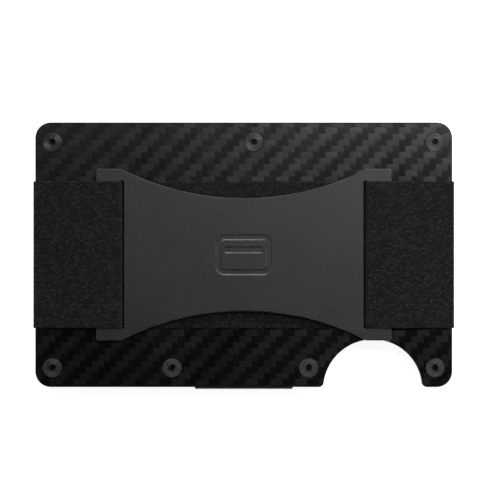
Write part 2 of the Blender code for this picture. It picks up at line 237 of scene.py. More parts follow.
def notch_edge(half_y, offset):
    """The lower edge from left to right: round lip, thumb arc, round lip, moved inward by offset."""
    lip_y = -half_y + NOTCH_LIP_R
    reach = NOTCH_R + NOTCH_LIP_R
    lip_dx = math.sqrt(reach**2 - (lip_y - NOTCH_Y) ** 2)
    turn = math.degrees(math.asin((lip_y - NOTCH_Y) / reach))
    lip_r = NOTCH_LIP_R - offset
    left = arc((NOTCH_X - lip_dx, lip_y), lip_r, -90, -turn, LIP_STEPS)
    thumb = arc((NOTCH_X, NOTCH_Y), NOTCH_R + offset, 180 - turn, turn, NOTCH_STEPS)
    right = arc((NOTCH_X + lip_dx, lip_y), lip_r, 180 + turn, 270, LIP_STEPS)
    return left + thumb[1:-1] + right


def plate_outline(inset, offset):
    """A plate's edge, anticlockwise from its lower left corner, moved inward by offset."""
    half_x = PLATE_LENGTH / 2 - inset
    half_y = PLATE_WIDTH / 2 - inset
    radius = CORNER_R - inset
    corners = []
    for sx, sy, start in ((-1, -1, 180), (1, -1, 270), (1, 1, 0), (-1, 1, 90)):
        centre = (sx * (half_x - radius), sy * (half_y - radius))
        corners.append(arc(centre, radius - offset, start, start + 90, CORNER_STEPS))
    return corners[0] + notch_edge(half_y, offset) + corners[1] + corners[2] + corners[3]


def strap_outline(offset):
    """The waisted plate, anticlockwise from the right end's upper corner, moved inward by offset."""
    sagitta = STRAP_HALF_WIDTH - STRAP_WAIST_HALF
    radius = (STRAP_ARC_HALF_CHORD**2 + sagitta**2) / (2 * sagitta)
    centre_y = STRAP_WAIST_HALF + radius
    radius += offset
    sweep = math.degrees(math.acos((centre_y - STRAP_HALF_WIDTH + offset) / radius))
    corner_x = STRAP_HALF_LENGTH - STRAP_CORNER_R
    corner_y = STRAP_HALF_WIDTH - STRAP_CORNER_R
    corner_r = STRAP_CORNER_R - offset
    steps = SMALL_CORNER_STEPS
    return (
        arc((corner_x, corner_y), corner_r, 0, 90, steps)
        + arc((0.0, centre_y), radius, 270 + sweep, 270 - sweep, ARC_STEPS)
        + arc((-corner_x, corner_y), corner_r, 90, 180, steps)
        + arc((-corner_x, -corner_y), corner_r, 180, 270, steps)
        + arc((0.0, -centre_y), radius, 90 + sweep, 90 - sweep, ARC_STEPS)
        + arc((corner_x, -corner_y), corner_r, 270, 360, steps)
    )


def star_outline(offset):
    """The screw's six-point recess, moved outward by offset, with rounded points and valleys."""
    middle = (STAR_R + STAR_VALLEY_R) / 2 + offset
    swing = (STAR_R - STAR_VALLEY_R) / 2
    count = 12 * STAR_POINTS
    points = []
    for step in range(count):
        angle = 2 * math.pi * step / count
        radius = middle + swing * math.cos(STAR_POINTS * angle)
        points.append((radius * math.cos(angle), radius * math.sin(angle)))
    return points


def screw_places():
    """Where the seven screws of one side stand: three in the upper row, four in the lower."""
    top = [(x, SCREW_ROW_Y) for x in (-SCREW_SIDE_X, SCREW_TOP_X, SCREW_SIDE_X)]
    low = [(x, -SCREW_ROW_Y) for x in (-SCREW_SIDE_X, *SCREW_LOW_X, SCREW_SIDE_X)]
    return top + low


# -------------------------------------------------------------------------------- solid pieces


def new_object(name, mesh):
    """An object with this data, linked into the scene."""
    obj = bpy.data.objects.new(name, mesh)
    bpy.context.scene.collection.objects.link(obj)
    return obj


def loft(name, outline_of, rings):
    """A closed solid through copies of one outline. Each ring is an (offset, level) pair."""
    work = bmesh.new()
    loops = [[work.verts.new((x, y, z)) for x, y in outline_of(offset)] for offset, z in rings]
    count = len(loops[0])
    for lower, upper in zip(loops, loops[1:]):
        for i in range(count):
            j = (i + 1) % count
            work.faces.new((lower[i], lower[j], upper[j], upper[i]))
    work.faces.new(list(reversed(loops[0])))
    work.faces.new(loops[-1])
    bmesh.ops.recalc_face_normals(work, faces=work.faces)
    mesh = bpy.data.meshes.new(name)
    work.to_mesh(mesh)
    work.free()
    return new_object(name, mesh)


def rounded_rings(low, high, radius):
    """Rings of a solid whose upper and lower edges are rounded, from its low face to its high one."""
    turns = [math.pi / 2 * step / EDGE_STEPS for step in range(EDGE_STEPS + 1)]
    lower = [(radius * (1 - math.sin(a)), low + radius * (1 - math.cos(a))) for a in turns]
    upper = [(offset, low + high - z) for offset, z in reversed(lower)]
    return lower + upper


def turned(name, profile, steps):
    """A solid turned about Z. Its profile runs from the top of the axis to the bottom."""
    work = bmesh.new()
    rings = []
    for radius, z in profile:
        if radius == 0.0:
            rings.append([work.verts.new((0.0, 0.0, z))])
            continue
        circle = arc((0.0, 0.0), radius, 0, 360, steps)[:-1]
        rings.append([work.verts.new((x, y, z)) for x, y in circle])
    for upper, lower in zip(rings, rings[1:]):
        for i in range(steps):
            j = (i + 1) % steps
            corners = [upper[i % len(upper)], lower[i % len(lower)]]
            corners += [lower[j % len(lower)], upper[j % len(upper)]]
            work.faces.new(list(dict.fromkeys(corners)))
    bmesh.ops.recalc_face_normals(work, faces=work.faces)
    mesh = bpy.data.meshes.new(name)
    work.to_mesh(mesh)
    work.free()
    return new_object(name, mesh)


def box_tool(name, corner, opposite, low, high):
    """A box between two corners seen from above, and between two levels."""
    (x0, y0), (x1, y1) = corner, opposite
    return loft(name, lambda _: [(x0, y0), (x1, y0), (x1, y1), (x0, y1)], [(0.0, low), (0.0, high)])


def cut(obj, tools):
    """Takes the tools' space out of a solid, and removes the tools."""
    for tool in tools:
        boolean = obj.modifiers.new(tool.name, "BOOLEAN")
        boolean.object = tool
        boolean.operation = "DIFFERENCE"
        boolean.solver = "EXACT"
    bpy.context.view_layer.update()
    graph = bpy.context.evaluated_depsgraph_get()
    mesh = bpy.data.meshes.new_from_object(obj.evaluated_get(graph))
    obj.modifiers.clear()
    obj.data = mesh
    for tool in tools:
        bpy.data.objects.remove(tool, do_unlink=True)


def finish_mesh(mesh, material):
    """Smooth shading except over crisp edges, and the piece's one material."""
    mesh.materials.clear()
    mesh.materials.append(material)
    mesh.polygons.foreach_set("material_index", [0] * len(mesh.polygons))
    mesh.shade_smooth()
    mesh.set_sharp_from_angle(angle=CRISP)


def settle(obj, body, slot, *nodes):
    """Says what a piece rides on and hides the CAD nodes that it stands for. Its finish slot is not
    used.
    """
    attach(obj, body)
    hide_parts(*nodes)


def outer_plate(name, low, face_up, material):
    """A carbon-fibre plate with seven countersunk holes, their wide ends on its outer face."""
    rings = rounded_rings(low, low + PLATE_THICK, PLATE_EDGE)
    plate = loft(name, lambda offset: plate_outline(0.0, offset), rings)
    profile = [
        (0.0, CUT_PAST),
        (SINK_R + SINK_RIM, CUT_PAST),
        (SINK_R + SINK_RIM, 0.0),
        (SINK_R - SINK_RIM, -SINK_RIM),
        (HOLE_R, HOLE_R - SINK_R),
        (HOLE_R, -PLATE_THICK - CUT_PAST),
        (0.0, -PLATE_THICK - CUT_PAST),
    ]
    holes = []
    for x, y in screw_places():
        hole = turned("hole_tool", profile, HOLE_STEPS)
        hole.location = (x, y, low + PLATE_THICK if face_up else low)
        hole.rotation_euler.x = 0.0 if face_up else math.pi
        holes.append(hole)
    cut(plate, holes)
    finish_mesh(plate.data, material)
    return plate


def inner_plate(name, low, channel_up, material):
    """An aluminium plate with threaded holes and a T-shaped channel for the elastic."""
    high = low + INNER_THICK
    rings = rounded_rings(low, high, INNER_EDGE)
    plate = loft(name, lambda offset: plate_outline(INNER_INSET, offset), rings)
    past = (low - CUT_CLEAR, high + CUT_CLEAR)
    channel = (low + INNER_FLOOR, past[1]) if channel_up else (past[0], high - INNER_FLOOR)
    edge_x = PLATE_LENGTH / 2 - INNER_INSET - RELIEF_DEPTH
    edge_y = PLATE_WIDTH / 2 - INNER_INSET - RELIEF_DEPTH
    bar = BAND_WIDTH / 2 + BAND_CLEARANCE
    stem = BOTTOM_BAND_WIDTH / 2 + BAND_CLEARANCE
    out_x = PLATE_LENGTH / 2 + CUT_CLEAR
    out_y = PLATE_WIDTH / 2 + CUT_CLEAR
    tools = [
        box_tool("channel_bar", (-out_x, -bar), (out_x, bar), *channel),
        box_tool("channel_stem", (-stem, -out_y), (stem, 0.0), *channel),
        box_tool("relief_left", (-out_x, -bar), (-edge_x, bar), *past),
        box_tool("relief_right", (edge_x, -bar), (out_x, bar), *past),
        box_tool("relief_low", (-stem, -out_y), (stem, -edge_y), *past),
    ]
    profile = [(0.0, past[1]), (HOLE_R, past[1]), (HOLE_R, past[0]), (0.0, past[0])]
    for x, y in screw_places():
        hole = turned("hole_tool", profile, HOLE_STEPS)
        hole.location = (x, y, 0.0)
        tools.append(hole)
    cut(plate, tools)
    finish_mesh(plate.data, material)
    return plate


def screw_mesh(material):
    """A countersunk screw, head up, its face at height 0: turning grooves, round rim, star recess."""
    cone_end = -HEAD_LIP - (HEAD_R - SHANK_R)
    profile = [(0.0, 0.0)]
    radius = STAR_R + 2 * STAR_EDGE
    while radius < HEAD_R - RIM_ROUND - GROOVE_PITCH:
        profile.append((radius, 0.0))
        profile.append((radius + GROOVE_PITCH / 2, -GROOVE_DEPTH))
        radius += GROOVE_PITCH
    profile += [(HEAD_R - RIM_ROUND, 0.0), (HEAD_R - RIM_SHOULDER, -RIM_SHOULDER)]
    profile += [(HEAD_R, -HEAD_LIP), (SHANK_R, cone_end)]
    z = cone_end - THREAD_PITCH / 2
    while z - THREAD_PITCH > -SCREW_LENGTH + SCREW_TIP:
        profile.append((SHANK_R, z))
        profile.append((SHANK_R - THREAD_DEPTH, z - THREAD_PITCH / 2))
        z -= THREAD_PITCH
    profile += [(SHANK_R, z), (SHANK_R - SCREW_TIP, -SCREW_LENGTH), (0.0, -SCREW_LENGTH)]
    screw = turned("countersunk_screw", profile, SCREW_STEPS)
    rings = [(0.0, -STAR_DEPTH), (0.0, -STAR_EDGE), (STAR_EDGE, 0.0), (2 * STAR_EDGE, STAR_EDGE)]
    cut(screw, [loft("star_tool", star_outline, rings)])
    mesh = screw.data
    finish_mesh(mesh, material)
    bpy.data.objects.remove(screw, do_unlink=True)
    return mesh


def make_screws(mesh):
    """The seven screws of each side, which share one mesh."""
    for index, (x, y) in enumerate(screw_places(), start=1):
        front = new_object(f"front_star_screw_{index}", mesh)
        front.location = (x, y, HEAD_SUNK)
        front.rotation_euler = (math.pi, 0.0, math.radians(FRONT_SCREW_TURN * index))
        settle(front, "front_half", "screw_steel", f"front_screw_{index}")
        back = new_object(f"back_star_screw_{index}", mesh)
        back.location = (x, y, BACK_FACE_Z - HEAD_SUNK)
        back.rotation_euler.z = math.radians(BACK_SCREW_TURN * index)
        settle(back, "back_half", "screw_steel", f"back_screw_{index}")


def engraving_rings(top, widen):
    """Rings of an engraving tool whose walls slope outward, or inward where widen is -1."""
    steep = EMBLEM_SLOPE / EMBLEM_DEPTH
    reach = EMBLEM_DEPTH / 2
    return [
        (-widen * steep * reach, top - EMBLEM_DEPTH),
        (widen * steep * reach, top),
        (widen * steep * 2 * reach, top + reach),
    ]


def strap_plate(material):
    """The waisted plate with its two slots for the elastic and the engraved card emblem."""
    top = STRAP_Z + STRAP_THICK
    plate = loft("waisted_strap_plate", strap_outline, rounded_rings(STRAP_Z, top, STRAP_EDGE))
    half_y = BAND_WIDTH / 2 + SLOT_CLEARANCE
    slot_x = SLOT_INNER_X + SLOT_WIDTH / 2
    slot_rings = [
        (2 * SLOT_EDGE, STRAP_Z - SLOT_EDGE),
        (0.0, STRAP_Z + SLOT_EDGE),
        (0.0, top - SLOT_EDGE),
        (SLOT_ROUND, top - SLOT_ROUND),
        (2 * SLOT_EDGE, top + SLOT_EDGE),
    ]

    def slot_edge(side, d):
        """One slot's outline, moved outward by d."""
        half = (SLOT_WIDTH / 2 + d, half_y + d)
        return rounded_rectangle(*half, SLOT_CORNER_R + d, (side * slot_x, 0.0))

    def frame_edge(line, d):
        """The emblem frame's outline, a line's width inside its outer edge, moved outward by d."""
        half = (EMBLEM_LENGTH / 2 - line + d, EMBLEM_WIDTH / 2 - line + d)
        return rounded_rectangle(*half, EMBLEM_CORNER_R - line + d)

    def stripe_edge(d):
        """The emblem stripe's outline, moved outward by d."""
        half = (EMBLEM_STRIPE_HALF_LENGTH + d, EMBLEM_STRIPE_WIDTH / 2 + d)
        return rounded_rectangle(*half, STRIPE_CORNER_R + d, (0.0, EMBLEM_STRIPE_Y))

    tools = [loft("slot_tool", lambda d, s=side: slot_edge(s, d), slot_rings) for side in (-1, 1)]
    ring = loft("emblem_tool", lambda d: frame_edge(0.0, d), engraving_rings(top, 1))
    below = (EMBLEM_SLOPE, top - ISLAND_FOOT)
    island_rings = [below, *engraving_rings(top, -1)]
    island = loft("island_tool", lambda d: frame_edge(EMBLEM_LINE, d), island_rings)
    cut(ring, [island])
    tools += [ring, loft("stripe_tool", stripe_edge, engraving_rings(top, 1))]
    cut(plate, tools)
    finish_mesh(plate.data, material)
    return plate


# ------------------------------------------------------------------------------- elastic bands


def filleted(corners, radii, closed):
    """A path through corners, each corner replaced by an arc of its own radius."""
    points = []
    count = len(corners)
    for index, (x, y) in enumerate(corners):
        at_end = not closed and index in (0, count - 1)
        if at_end:
            points.append((x, y))
            continue
        before = corners[index - 1]
        after = corners[(index + 1) % count]
        heading_in = math.atan2(y - before[1], x - before[0])
        heading_out = math.atan2(after[1] - y, after[0] - x)
        turn = (heading_out - heading_in + math.pi) % (2 * math.pi) - math.pi
        side = math.copysign(1.0, turn)
        setback = radii[index] * math.tan(abs(turn) / 2)
        start_x = x - setback * math.cos(heading_in)
        start_y = y - setback * math.sin(heading_in)
        centre_x = start_x - side * radii[index] * math.sin(heading_in)
        centre_y = start_y + side * radii[index] * math.cos(heading_in)
        for step in range(BEND_STEPS + 1):
            angle = heading_in + turn * step / BEND_STEPS
            px = centre_x + side * radii[index] * math.sin(angle)
            py = centre_y - side * radii[index] * math.cos(angle)
            points.append((px, py))
    return points


def card_band_path():
    """Round both inner plates by their short edges, inside their reliefs."""
    edge = PLATE_LENGTH / 2 - INNER_INSET - RELIEF_DEPTH
    x = edge + CARD_BAND_SIDE_GAP + BAND_THICK / 2
    low = MIDDLE_Z - CARD_RUN_Z
    high = MIDDLE_Z + CARD_RUN_Z
    corners = [(-x, low), (x, low), (x, high), (-x, high)]
    return filleted(corners, [BEND_R] * 4, closed=True)


def bottom_band_path():
    """From its lap on the card band in one channel, round the lower edge, to the other lap."""
    y = -PLATE_WIDTH / 2 - BOTTOM_BAND_PROUD + BAND_THICK / 2
    low = MIDDLE_Z - LAP_RUN_Z
    high = MIDDLE_Z + LAP_RUN_Z
    corners = [(BOTTOM_BAND_LAP_Y, low), (y, low), (y, high), (BOTTOM_BAND_LAP_Y, high)]
    return filleted(corners, [0, BOTTOM_BAND_BEND_R, BOTTOM_BAND_BEND_R, 0], closed=False)


def strap_band_path():
    """Round the back outer plate, over the strap plate's end bars and under its middle."""
    edge = PLATE_LENGTH / 2 + GAP + BAND_THICK / 2
    slot = SLOT_INNER_X + SLOT_WIDTH / 2
    channel = MIDDLE_Z + STRAP_RUN_Z
    face = BACK_FACE_Z + GAP + BAND_THICK / 2
    bar = STRAP_Z + STRAP_THICK + GAP + BAND_THICK / 2
    right = [
        (edge, channel, BEND_R),
        (edge, face, BEND_R),
        (STRAP_FOOT_X, face, MM),
        (STRAP_KNEE_X, bar, MM),
        (slot, bar, STRAP_BEND_R),
        (slot, face, BEND_R),
    ]
    left = [(-x, z, radius) for x, z, radius in reversed(right)]
    bends = right + left
    corners = [(x, z) for x, z, _ in bends]
    radii = [radius for _, _, radius in bends]
    return filleted(corners, radii, closed=True)


def unit(vectors):
    """The vectors at length 1."""
    return vectors / np.maximum(np.linalg.norm(vectors, axis=1, keepdims=True), SHORTEST)


def stations(path, closed):
    """Points along a path, no further apart than a row, with their normals and distances.

    A closed path ends with its first point again, at the full distance round it."""
    points = np.array(path + path[:1]) if closed else np.array(path)
    dense = [points[:1]]
    for start, end in zip(points[:-1], points[1:]):
        count = max(1, math.ceil(np.linalg.norm(end - start) / ROW_PITCH))
        share = np.arange(1, count + 1)[:, None] / count
        dense.append(start + (end - start) * share)
    dense = np.vstack(dense)
    step = np.diff(dense, axis=0)
    heading = unit(step)
    first = heading[-1:] if closed else heading[:1]
    last = heading[:1] if closed else heading[-1:]
    along = unit(np.vstack([first, heading]) + np.vstack([heading, last]))
    normal = np.column_stack([-along[:, 1], along[:, 0]])
    distance = np.concatenate([[0.0], np.cumsum(np.linalg.norm(step, axis=1))])
    return dense, normal, distance


def band_heights(width, distance, seed):
    """How far the faces stand off the band's middle: ribs along it, uneven from pick to pick."""
    ribs = round(width / RIB_PITCH)
    across = np.linspace(-width / 2, width / 2, ribs * RIB_SAMPLES + 1)
    rib = np.minimum(np.arange(len(across)) // RIB_SAMPLES, ribs - 1)
    crown = np.sin(math.pi * (np.arange(len(across)) % RIB_SAMPLES) / RIB_SAMPLES)
    picks = int(distance.max() / PICK_PITCH) + 2
    uneven = np.random.default_rng(seed).uniform(LOWEST_PICK, 1.0, (picks, ribs))
    pick = (distance / PICK_PITCH).astype(int)
    share = (distance / PICK_PITCH - pick)[:, None]
    lift = uneven[pick][:, rib] * (1 - share) + uneven[pick + 1][:, rib] * share
    height = BAND_THICK / 2 - RIB_HEIGHT / 2 + RIB_HEIGHT * crown * lift
    from_edge = np.minimum(across - across[0], across[-1] - across) / RIB_PITCH
    height += SELVEDGE_RISE * np.clip(1 - np.abs(from_edge - 0.5), 0, 1)
    height *= np.where(from_edge == 0, SELVEDGE_THIN, 1.0)
    return across, height


def band(name, row, width, along_x, seed, material, closed=False):
    """A strip of elastic through stations (points, normals, distances), with thickness and ribs."""
    points, normal, distance = row
    across, height = band_heights(width, distance, seed)
    if closed:
        height[-1] = height[0]
    rows = len(points) - 1 if closed else len(points)
    columns = len(across)
    upper = points[:, None, :] + normal[:, None, :] * height[:, :, None]
    lower = points[:, None, :] - normal[:, None, :] * height[:, :, None]
    ring = np.concatenate([upper, lower[:, ::-1]], axis=1)
    side = np.concatenate([across, across[::-1]])
    side = np.broadcast_to(side, ring.shape[:2])
    if along_x:
        verts = np.stack([ring[:, :, 0], side, ring[:, :, 1]], axis=2)
    else:
        verts = np.stack([side, ring[:, :, 0], ring[:, :, 1]], axis=2)
    size = 2 * columns
    near = np.arange(len(points) - 1)[:, None] * size + np.arange(size)
    near_next = np.arange(len(points) - 1)[:, None] * size + (np.arange(size) + 1) % size
    quads = np.stack([near, near_next, near_next + size, near + size], axis=2).reshape(-1, 4)
    along = np.broadcast_to(distance[:, None], side.shape)
    weave = np.stack([side, along], axis=2).reshape(-1, 2) / MM
    corners = weave[quads]
    faces = (quads % (rows * size) if closed else quads).tolist()
    if not closed:
        for start in (0, (rows - 1) * size):
            for i in range(columns - 1):
                j = size - 1 - i
                faces.append([start + i, start + i + 1, start + j - 1, start + j])
                corners = np.concatenate([corners, weave[[faces[-1]]]])
    mesh = bpy.data.meshes.new(name)
    mesh.from_pydata(verts[:rows].reshape(-1, 3).tolist(), [], faces)
    layer = mesh.uv_layers.new(name="weave")
    layer.data.foreach_set("uv", corners.astype(np.float32).ravel())
    work = bmesh.new()
    work.from_mesh(mesh)
    bmesh.ops.recalc_face_normals(work, faces=work.faces)
    work.to_mesh(mesh)
    work.free()
    mesh.materials.append(material)
    mesh.shade_smooth()
    mesh.set_sharp_from_angle(angle=BAND_CRISP)
    return new_object(name, mesh)


def part_of(row, start, end):
    """The stations from one index to another, both included."""
    return tuple(values[start : end + 1] for values in row)


def make_bands(material):
    """The three elastic bands. The strap's is split where it leaves one body for the next."""
    card_row = stations(card_band_path(), closed=True)
    card = band("card_elastic", card_row, BAND_WIDTH, True, CARD_BAND_SEED, material, closed=True)
    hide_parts("card_band")
    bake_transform(card)

    bottom_row = stations(bottom_band_path(), closed=False)
    seed = BOTTOM_BAND_SEED
    bottom = band("bottom_elastic", bottom_row, BOTTOM_BAND_WIDTH, False, seed, material)
    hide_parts("bottom_band")
    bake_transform(bottom)

    row = stations(strap_band_path(), closed=True)
    x = row[0][:, 0]
    z = row[0][:, 1]
    upper = z > BACK_FACE_Z
    right_foot = int(np.flatnonzero(upper & (x <= STRAP_FOOT_X))[0])
    right_knee = int(np.flatnonzero(upper & (x <= STRAP_KNEE_X))[0])
    left_knee = int(np.flatnonzero(upper & (x >= -STRAP_KNEE_X))[-1])
    left_foot = int(np.flatnonzero(upper & (x >= -STRAP_FOOT_X))[-1])
    pieces = {
        "strap_elastic_wing_right": part_of(row, right_foot, right_knee),
        "strap_elastic_middle": part_of(row, right_knee, left_knee),
        "strap_elastic_wing_left": part_of(row, left_knee, left_foot),
    }
    end = part_of(row, left_foot, len(x) - 1)
    start = part_of(row, 1, right_foot)
    start = (start[0], start[1], start[2] + row[2][-1])
    pieces["strap_elastic_channel"] = tuple(np.concatenate(pair) for pair in zip(end, start))
    made = {}
    for name, piece_row in pieces.items():
        obj = band(name, piece_row, BAND_WIDTH, True, STRAP_BAND_SEED, material)
        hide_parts("strap_band")
        made[name] = obj
    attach(made["strap_elastic_channel"], "back_half")
    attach(made["strap_elastic_middle"], "cash_strap")
    for name, side in (("strap_elastic_wing_right", 1), ("strap_elastic_wing_left", -1)):
        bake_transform(made[name])


# ------------------------------------------------------------------------------------ materials


class Graph:
    """A material's nodes, made and joined by short calls."""

    def __init__(self, name):
        self.material = bpy.data.materials.new(name)
        self.material.use_nodes = True
        self.tree = self.material.node_tree
        self.shader = self.tree.nodes["Principled BSDF"]
        self.coordinates = self.tree.nodes.new("ShaderNodeTexCoord")

    def put(self, socket, source):
        """Joins a socket to a node's output, or sets its value."""
        if isinstance(source, bpy.types.NodeSocket):
            self.tree.links.new(source, socket)
        else:
            socket.default_value = source

    def node(self, kind, **settings):
        """A new node of this kind, with its settings."""
        made = self.tree.nodes.new(kind)
        for name, value in settings.items():
            setattr(made, name, value)
        return made

    def math(self, operation, a, b=0.0, c=0.0, clamp=False):
        """The result of an operation on up to three numbers."""
        made = self.node("ShaderNodeMath", operation=operation, use_clamp=clamp)
        for socket, source in zip(made.inputs, (a, b, c)):
            self.put(socket, source)
        return made.outputs[0]

    def mix(self, factor, a, b):
        """A mix of two numbers."""
        made = self.node("ShaderNodeMix", data_type="FLOAT")
        for index, source in ((0, factor), (2, a), (3, b)):
            self.put(made.inputs[index], source)
        return made.outputs[0]

    def mix_vector(self, factor, a, b):
        """A mix of two vectors."""
        made = self.node("ShaderNodeMix", data_type="VECTOR")
        for index, source in ((0, factor), (4, a), (5, b)):
            self.put(made.inputs[index], source)
        return made.outputs[1]

    def grey(self, value, tint=(1.0, 1.0, 1.0)):
        """A colour from a number, times a tint."""
        made = self.node("ShaderNodeCombineColor")
        for index, share in enumerate(tint):
            self.put(made.inputs[index], self.math("MULTIPLY", value, share))
        return made.outputs[0]

    def split(self, vector):
        """A vector's three numbers."""
        made = self.node("ShaderNodeSeparateXYZ")
        self.put(made.inputs[0], vector)
        return made.outputs[0], made.outputs[1], made.outputs[2]

    def join(self, x, y, z=0.0):
        """A vector from three numbers."""
        made = self.node("ShaderNodeCombineXYZ")
        for socket, source in zip(made.inputs, (x, y, z)):
            self.put(socket, source)
        return made.outputs[0]

    def place_mm(self):
        """The point on the piece, in millimetres."""
        made = self.node("ShaderNodeVectorMath", operation="SCALE")
        self.put(made.inputs[0], self.coordinates.outputs["Object"])
        made.inputs["Scale"].default_value = 1 / MM
        return made.outputs[0]

    def noise(self, vector, scale, detail=2.0, roughness=0.5):
        """Smooth noise, from 0 to 1 and mostly near the middle."""
        made = self.node("ShaderNodeTexNoise")
        self.put(made.inputs["Vector"], vector)
        made.inputs["Scale"].default_value = scale
        made.inputs["Detail"].default_value = detail
        made.inputs["Roughness"].default_value = roughness
        return made.outputs[0]

    def random(self, vector):
        """A number from 0 to 1 for each different vector."""
        made = self.node("ShaderNodeTexWhiteNoise", noise_dimensions="3D")
        self.put(made.inputs["Vector"], vector)
        return made.outputs["Value"]

    def span(self, value, low, high, to_low=0.0, to_high=1.0):
        """A number moved from one range to another, smoothly and kept inside it."""
        made = self.node("ShaderNodeMapRange", interpolation_type="SMOOTHSTEP")
        for index, source in enumerate((value, low, high, to_low, to_high)):
            self.put(made.inputs[index], source)
        return made.outputs[0]

    def upright(self):
        """1 on faces that look straight up or down, 0 on edges and sides."""
        _, _, nz = self.split(self.coordinates.outputs["Normal"])
        return self.span(self.math("ABSOLUTE", nz), 0.95, 0.99)

    def bump(self, height, distance):
        """A normal from a height, which stands for a distance in metres where it is 1."""
        made = self.node("ShaderNodeBump")
        made.inputs["Strength"].default_value = 1.0
        made.inputs["Distance"].default_value = distance
        self.put(made.inputs["Height"], height)
        return made.outputs[0]

    def finish(self, colour, roughness, normal, **constants):
        """The finished material. The constants are set on the shader's own sockets."""
        self.put(self.shader.inputs["Base Color"], colour)
        self.put(self.shader.inputs["Roughness"], roughness)
        self.put(self.shader.inputs["Normal"], normal)
        for name, value in constants.items():
            self.shader.inputs[name.replace("_", " ")].default_value = value
        return self.material


# The materials' patterns are laid out in millimetres. A tow's width, and where the twill starts:
TOW = 1.267
TWILL_X = -1.62
TWILL_Y = 0.35

# The brightness of the tows along Y and along X, and how much rougher the second are.
# The weft's extra brightness is a painted sheen: lit and shaded tones of one fibre, standing for the
# gloss that tows along X throw back from the light at +Y.
WARP_SHADED_TONE = 0.0238
WEFT_LIT_TONE = 0.0358
WEFT_ROUGHER = 0.04

# How fast the fibres change across a tow and along it, and how thick the laminate's plies are.
FIBRE_FINE = 9.0
FIBRE_LONG = 0.5
PLY = 0.2

# How far apart the elastic's columns of stitches are, and the stitches in a column.
WALE_PITCH = 0.505
COURSE_PITCH = 0.62


def pillow(g, share):
    """1 in the middle of a tow and 0 at its edges, with a broad flat crown."""
    centred = g.math("SUBTRACT", g.math("MULTIPLY", share, 2.0), 1.0)
    return g.math("SUBTRACT", 1.0, g.math("POWER", g.math("ABSOLUTE", centred), 5.0), clamp=True)


def carbon_material():
    """2x2 twill: every tow passes over two and under two, one step further on in each row.

    The warp runs along Y and the weft along X. They differ in roughness and in the direction of their
    gloss, and the weft's tone is painted lighter than the warp's as a painted sheen from the light at
    +Y. The laminate's edges show plies instead."""
    g = Graph("carbon_twill")
    x, y, z = g.split(g.place_mm())
    column = g.math("DIVIDE", g.math("ADD", x, TWILL_X), TOW)
    row = g.math("DIVIDE", g.math("ADD", y, TWILL_Y), TOW)
    i = g.math("FLOOR", column)
    j = g.math("FLOOR", row)
    fu = g.math("FRACT", column)
    fv = g.math("FRACT", row)
    phase = g.math("FLOORED_MODULO", g.math("SUBTRACT", i, j), 4.0)
    weft = g.math("LESS_THAN", phase, 1.5)

    along_weft = g.math("DIVIDE", g.math("ADD", phase, fu), 2.0)
    along_warp = g.math("DIVIDE", g.math("ADD", g.math("SUBTRACT", 3.0, phase), fv), 2.0)
    along = g.mix(weft, along_warp, along_weft)
    across = g.mix(weft, fu, fv)
    crown = g.math("MULTIPLY", pillow(g, along), pillow(g, across))
    weft_id = g.join(g.math("SUBTRACT", i, phase), j, 0.0)
    warp_id = g.join(i, g.math("ADD", j, phase), 7.0)
    one_tow = g.random(g.mix_vector(weft, warp_id, weft_id))
    along_y = g.join(g.math("MULTIPLY", x, FIBRE_FINE), g.math("MULTIPLY", y, FIBRE_LONG))
    along_x = g.join(g.math("MULTIPLY", x, FIBRE_LONG), g.math("MULTIPLY", y, FIBRE_FINE))
    fibre = g.noise(g.mix_vector(weft, along_y, along_x), 1.0, 3.0, 0.6)
    face = g.upright()

    # Painted sheen: the weft gets the lit tone and the warp the shaded tone.
    tone = g.mix(weft, WARP_SHADED_TONE, WEFT_LIT_TONE)
    tone = g.math("MULTIPLY", tone, g.span(one_tow, 0.0, 1.0, 0.86, 1.14))
    tone = g.math("MULTIPLY", tone, g.span(fibre, 0.3, 0.7, 0.80, 1.2))
    tone = g.math("MULTIPLY", tone, g.span(crown, 0.0, 0.4, 0.9, 1.0))
    plies = g.math("SINE", g.math("MULTIPLY", z, 2 * math.pi / PLY))
    plies = g.span(plies, -1.0, 1.0, 0.004, 0.009)
    frayed = g.noise(g.join(x, g.math("MULTIPLY", z, 6.0), y), 3.0, 4.0, 0.6)
    frayed = g.span(frayed, 0.4, 0.7, 0.0, 0.005)
    tone = g.mix(face, g.math("ADD", plies, frayed), tone)

    handled = g.noise(g.join(x, y, z), 0.09, 3.0, 0.55)
    roughness = g.span(handled, 0.3, 0.7, 0.20, 0.24)
    roughness = g.mix(weft, roughness, g.math("ADD", roughness, WEFT_ROUGHER))
    roughness = g.mix(face, 0.62, roughness)
    relief = g.math("ADD", g.math("MULTIPLY", crown, 0.25), g.math("MULTIPLY", fibre, 0.3))
    normal = g.bump(g.math("MULTIPLY", relief, face), 0.008 * MM)
    spread = g.mix_vector(weft, (1.0, 0.0, 0.0), (0.0, 1.0, 0.0))
    g.put(g.shader.inputs["Tangent"], g.mix_vector(face, (0.0, 0.0, 1.0), spread))
    gloss = {
        "Metallic": 0.92,
        "Anisotropic": 0.15,
        "Specular_IOR_Level": 1.0,
        "Specular_Tint": (0.55, 0.55, 0.55, 1.0),
    }
    return g.finish(g.grey(tone, (1.0, 1.0, 1.03)), roughness, normal, **gloss)


